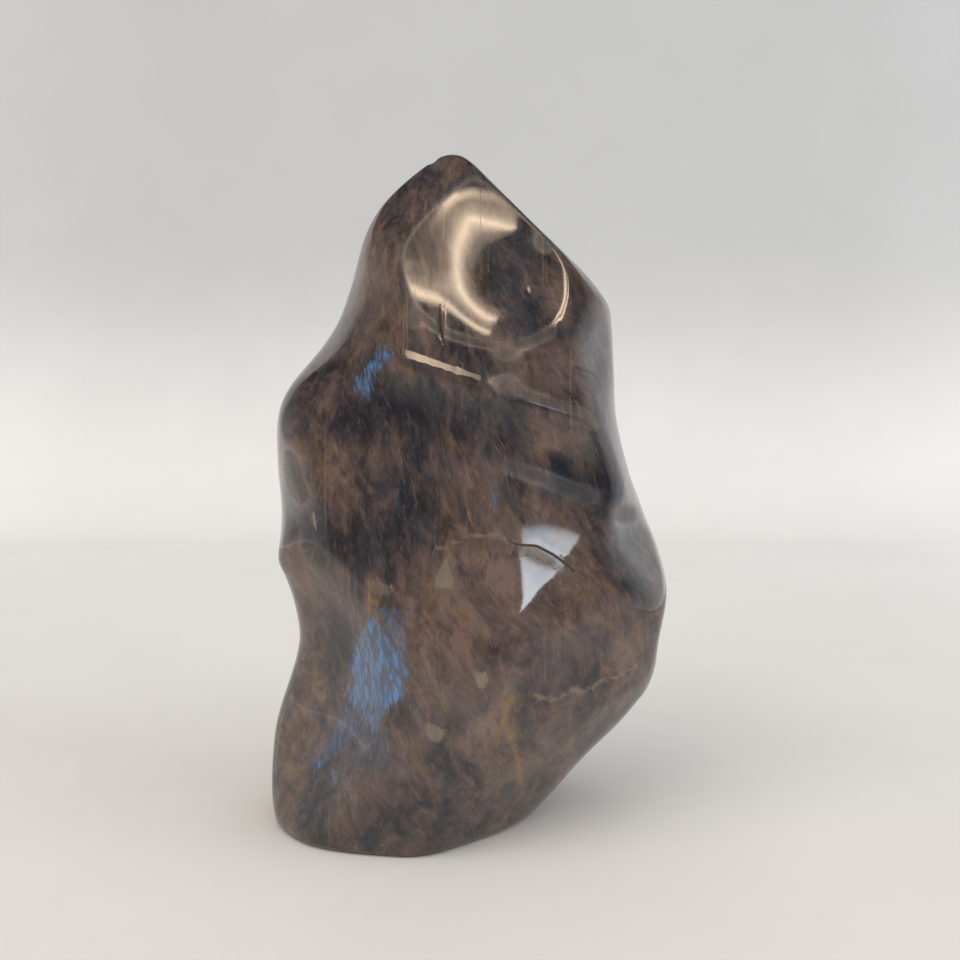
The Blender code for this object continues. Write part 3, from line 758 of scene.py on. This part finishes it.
def crescent():
    """The warm lamp, seen in the scoop as a broad C with three bright lines: places, faces and brightness."""
    rows = [  # outer edge, outer line, inner line, inner edge; brightness of outer line, middle and inner line
        ((506.5, 210), (505.5, 211), (507, 225.5), (508, 230), 0.30, 0.28, 0.90),
        ((503.5, 201), (502, 203), (500, 226), (502, 234), 0.36, 0.28, 1.00),
        ((495, 189.5), (491, 193), (490, 221.5), (493, 238), 0.46, 0.26, 1.00),
        ((484, 184.0), (482, 190), (482, 217.5), (488, 243), 0.60, 0.26, 1.00),
        ((471, 186.0), (470, 193.5), (475, 219.5), (484, 248), 0.78, 0.26, 1.00),
        ((457, 188.5), (458, 194), (469.5, 229), (481, 254), 1.00, 0.26, 1.00),
        ((443, 195.5), (446, 200.5), (463, 238), (478.5, 260), 0.95, 0.27, 0.95),
        ((429, 208.5), (434, 211.5), (457, 247), (477, 267), 0.40, 0.15, 0.92),
        ((419, 224), (423, 228), (453.5, 255), (476.5, 273), 0.10, 0.11, 0.92),
        ((413, 240), (425, 242), (451.5, 262), (476.5, 278), 0.04, 0.09, 0.92),
        ((410, 256), (423, 258), (452.5, 269), (477, 283), 0.04, 0.09, 0.92),
        ((406, 269), (411, 274), (454, 276), (478.5, 288), 0.66, 0.14, 0.95),
        ((406, 289), (415, 284), (458, 286), (482, 293), 1.00, 0.26, 1.00),
        ((420, 300), (426, 294), (463, 293.5), (486, 297.5), 0.98, 0.24, 0.98),
        ((436.5, 310), (441, 305), (470, 302), (491, 301.5), 0.80, 0.22, 0.95),
        ((452, 320), (455, 316.5), (479, 309.5), (496, 305), 0.84, 0.20, 0.92),
        ((471, 331.3), (474, 327), (489, 316), (500, 308), 0.86, 0.20, 0.90),
        ((491, 338), (494, 333), (500, 320), (503, 309.5), 0.80, 0.20, 0.88),
    ]
    line = np.array([np.ravel(row[:4]) for row in rows])
    power = np.array([row[4:] for row in rows])
    fine = np.linspace(0, len(rows) - 1, 3 * len(rows) - 2)
    line = np.stack([np.interp(fine, np.arange(len(rows)), c) for c in line.T], axis=1).reshape(-1, 4, 2)
    power = np.stack([np.interp(fine, np.arange(len(rows)), c) for c in power.T], axis=1)
    places, bright = [], []
    for (a, b, c, d), (first, middle, last) in zip(line, power, strict=True):
        steps = [(a, b, 0.0, 0.0), (a, b, 0.5, 0.45 * first), (a, b, 1.0, first), (b, c, 0.12, 0.6 * first + 0.4 * middle),
                 (b, c, 0.28, 0.8 * middle), (b, c, 0.60, 1.3 * middle), (b, c, 0.80, 0.6 * middle + 0.4 * last), (b, c, 1.0, last),
                 (c, d, 0.22, 0.55 * last + 0.08), (c, d, 0.55, 0.20), (c, d, 0.85, 0.12), (c, d, 1.0, 0.0)]
        for p, q, share, light in steps:
            places.append(p + share * (q - p))
            bright.append(light)
    across = 12
    faces = [(r * across + k, r * across + k + 1, (r + 1) * across + k + 1, (r + 1) * across + k)
             for r in range(len(line) - 1) for k in range(across - 1)]
    places = np.array(places)
    return mirrored_on("scoop", places[:, 0], places[:, 1], 700), faces, np.array(bright)


def spanning(azimuths, elevations, middle, away):
    """A sheet that spans these directions from a point; azimuth 0 is towards the camera, 90 is +X."""
    a, e = (np.radians(np.linspace(*w, 7)) for w in (azimuths, elevations))
    a, e = np.meshgrid(a, e)
    a, e = a.ravel(), e.ravel()
    out = np.stack([np.sin(a) * np.cos(e), -np.cos(a) * np.cos(e), np.sin(e)], axis=1)
    faces = [(r * 7 + k, r * 7 + k + 1, (r + 1) * 7 + k + 1, (r + 1) * 7 + k) for r in range(6) for k in range(6)]
    return (np.array(middle) + out * away - SHIFT) * MM, faces


def outline_on(facet, outline, away=700):
    places = np.array(outline, float)
    return mirrored_on(facet, places[:, 0], places[:, 1], away), [tuple(range(len(outline)))]


def lamps():
    """Name, points, faces, brightness of each point, colour and strength of every lamp."""
    found = [("lamp_crescent", *crescent(), WARM, 21)]
    points, faces = spanning((2, 32), (27.5, 37), (-1, -19, 82), 700)
    share = np.tile(np.linspace(0, 1, 7), 7)
    found.append(("lamp_shoulder", points, faces, np.interp(share, (0, 0.15, 0.6, 1), (0.5, 1, 0.7, 0.3)), WARM, 12.5))
    outline = np.array([(524, 524), (545, 525), (563, 529), (579, 537), (576, 553), (563, 578), (545, 598), (522, 619),
                        (523, 580), (524, 550)])
    inner = outline + np.array([(3, 9), (0, 10), (-2, 9), (-6, 5), (-4, 0), (-3, -2), (-1, -4), (2, -7), (3, 0), (3, 0)])
    points, _ = outline_on("front", np.vstack([outline, inner]))
    n = len(outline)
    faces = [(i, (i + 1) % n, n + (i + 1) % n, n + i) for i in range(n)] + [tuple(range(n, 2 * n))]
    bright = [0.05, 0.05, 0.05, 0.2, 0.5, 0.5, 0.5, 0.4, 0.5, 0.4, 0.62, 0.66, 0.66, 0.66, 0.8, 1.0, 1.05, 1.05, 1.0, 0.8]
    found.append(("window", points, faces, np.array(bright), WINDOW, 12.5))
    # the light walls to both sides, the right one brighter
    high = np.repeat(np.linspace(0, 1, 7), 7)
    high = np.interp(high, (0, 0.55, 1), (1, 0.9, 0))
    points, faces = spanning((76, 160), (-10.3, 32), (10, 5, 60), 330)
    found.append(("room_right", points, faces, high * np.tile((0, 0.8, 1.1, 1.2, 1.0, 0.5, 0), 7), ROOM, 0.95))
    points, faces = spanning((-50, -165), (-10.3, 32), (-10, 5, 60), 330)
    found.append(("room_left", points, faces, high * np.tile((0, 0.6, 1, 1, 0.7, 0.3, 0), 7), ROOM, 0.62))
    return found


# ---------------------------------------------------------------- studio
def paper_with_painted_light(name, low, far, high):
    """Matt paper with faint mottling, and painted light and shade: its colour near, at the back of the table, and up
    on the wall, painted to stand in for how the light falls there.
    """
    g = Graph(name)
    here = g.node("ShaderNodeTexCoord").outputs["Object"]
    x, y, z = g.node("ShaderNodeSeparateXYZ", (here,)).outputs
    mottle_and_painted_light = g.ease(g.noise(here, 22.0, 4, 0.6), 0.3, 0.7, 0.985, 1.015)
    colour = g.blend(g.ease(y, -0.12, 0.27), (*low, 1), (*far, 1))
    colour = g.blend(g.ease(z, 0.0, 0.12), colour, (*high, 1))
    # painted light and shade: it is painted lighter at the sides, darker far out to the sides, and dark beyond the
    # table's near end
    aside = g.math("ABSOLUTE", x)
    mottle_and_painted_light = g.mul(mottle_and_painted_light, g.mul(g.ease(aside, 0.13, 0.22, 1.0, 1.07), g.ease(aside, 0.26, 0.55, 1.0, 0.3)))
    mottle_and_painted_light = g.mul(mottle_and_painted_light, g.ease(y, -0.42, -0.07, 0.32, 1.0))
    mottle_and_painted_light = g.mul(mottle_and_painted_light, g.ease(y, -1.20, -0.42, 0.15, 1.0))
    mixed = g.blend(1.0, colour, g.node("ShaderNodeCombineColor", (mottle_and_painted_light, mottle_and_painted_light, mottle_and_painted_light)).outputs[0], "MULTIPLY")
    g.links.new(mixed, g.shader.inputs["Base Color"])
    g.shader.inputs["Roughness"].default_value = 0.85
    g.shader.inputs["Specular IOR Level"].default_value = 0.2
    return g.material


def only_mirrored(ob):
    """A panel that the polish mirrors and that does nothing else."""
    ob.visible_camera = ob.visible_diffuse = ob.visible_shadow = ob.visible_transmission = False
    return ob


def lamp(name, points, faces, bright, colour, strength):
    """A glowing sheet, its light given at each of its points."""
    mesh = bpy.data.meshes.new(name)
    mesh.from_pydata([tuple(p) for p in points], [], [tuple(f) for f in faces])
    mesh.attributes.new("bright", "FLOAT", "POINT").data.foreach_set("value", np.asarray(bright, dtype=np.float32))
    material = bpy.data.materials.new(name)
    material.use_nodes = True
    nodes, links = material.node_tree.nodes, material.node_tree.links
    nodes.clear()
    share = nodes.new("ShaderNodeAttribute")
    share.attribute_name = "bright"
    power = nodes.new("ShaderNodeMath")
    power.operation = "MULTIPLY"
    power.inputs[1].default_value = strength
    light = nodes.new("ShaderNodeEmission")
    light.inputs[0].default_value = (*colour, 1)
    links.new(share.outputs["Fac"], power.inputs[0])
    links.new(power.outputs[0], light.inputs[1])
    # nothing shines where the sheet's light is nought: the dark room is seen through it
    clear = nodes.new("ShaderNodeBsdfTransparent")
    both = nodes.new("ShaderNodeAddShader")
    links.new(light.outputs[0], both.inputs[0])
    links.new(clear.outputs[0], both.inputs[1])
    out = nodes.new("ShaderNodeOutputMaterial")
    links.new(both.outputs[0], out.inputs[0])
    mesh.materials.append(material)
    ob = bpy.data.objects.new(name, mesh)
    bpy.context.scene.collection.objects.link(ob)
    return only_mirrored(ob)


def soft_light(name, place, target, size, watts, colour):
    light = bpy.data.lights.new(name, "AREA")
    light.shape, light.size, light.size_y = "RECTANGLE", *size
    light.energy, light.color = watts, colour
    ob = bpy.data.objects.new(name, light)
    ob.location = place
    ob.rotation_euler = (Vector(target) - Vector(place)).to_track_quat("-Z", "Y").to_euler()
    bpy.context.scene.collection.objects.link(ob)
    ob.visible_glossy = ob.visible_camera = False
    return ob


def sheet(name, xs, profile, material):
    """A sheet drawn along X over a profile of (y, z)."""
    verts = [(x, y, z) for y, z in profile for x in xs]
    w = len(xs)
    faces = [(r * w + c, r * w + c + 1, (r + 1) * w + c + 1, (r + 1) * w + c)
             for r in range(len(profile) - 1) for c in range(w - 1)]
    mesh = bpy.data.meshes.new(name)
    mesh.from_pydata(verts, [], faces)
    mesh.materials.append(material)
    mesh.shade_smooth()
    ob = bpy.data.objects.new(name, mesh)
    bpy.context.scene.collection.objects.link(ob)
    return ob


WARM = (1.0, 0.77, 0.545)
WINDOW = (0.80, 0.89, 1.0)
ROOM = (0.97, 0.98, 1.0)


def studio():
    scene = bpy.context.scene
    scene.view_settings.view_transform = "Standard"
    scene.view_settings.look = "None"
    # the wall's darker colour is painted shade
    paper = paper_with_painted_light("pale_paper_painted_light", (0.85, 0.80, 0.735), (0.92, 0.885, 0.845), (0.65, 0.65, 0.645))
    xs, wide = np.linspace(-0.62, 0.62, 7), np.linspace(-1.5, 1.5, 9)
    sheet("table", wide, [(y, 0.0) for y in (-1.2, -0.4, 0.0, 0.27)], paper)
    bow = [(0.27 + 0.09 * math.sin(t), 0.09 * (1 - math.cos(t))) for t in np.linspace(0, math.pi / 2, 14)]
    sheet("backdrop", xs, [*bow, (0.36, 0.30)], paper)
    sheet("backdrop_top", xs, [(0.36, 0.30), (0.36, 0.75)], paper).visible_glossy = False
    for name, part in (("backdrop_left", (-1.5, -0.62)), ("backdrop_right", (0.62, 1.5))):
        sheet(name, part, [*bow, (0.36, 0.30), (0.36, 0.75)], paper).visible_glossy = False

    world = bpy.data.worlds.new("studio")
    scene.world = world
    world.use_nodes = True
    nodes, links = world.node_tree.nodes, world.node_tree.links
    back = nodes["Background"]
    path = nodes.new("ShaderNodeLightPath")
    mixed = nodes.new("ShaderNodeMix")
    mixed.data_type = "RGBA"
    links.new(path.outputs["Is Glossy Ray"], mixed.inputs[0])
    mixed.inputs[6].default_value = (0.65, 0.67, 0.70, 1)
    mixed.inputs[7].default_value = (0.022, 0.021, 0.022, 1)
    links.new(mixed.outputs[2], back.inputs[0])
    back.inputs[1].default_value = 1.0

    soft_light("key", (-0.55, -0.55, 0.75), (0, 0, 0.05), (0.9, 0.9), 4.1, (1.0, 0.93, 0.84))
    soft_light("fill", (0.75, -0.35, 0.45), (0, 0, 0.05), (0.6, 0.6), 2.2, (0.88, 0.93, 1.0))

    for name, points, faces, bright, colour, strength in lamps():
        lamp(name, points, faces, bright, colour, strength)


# ---------------------------------------------------------------- build
make_camera()
stone_piece = make_stone()
stone_piece.data.materials.append(stone_finish())
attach(stone_piece, "root")
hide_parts("flame_carving")
studio()
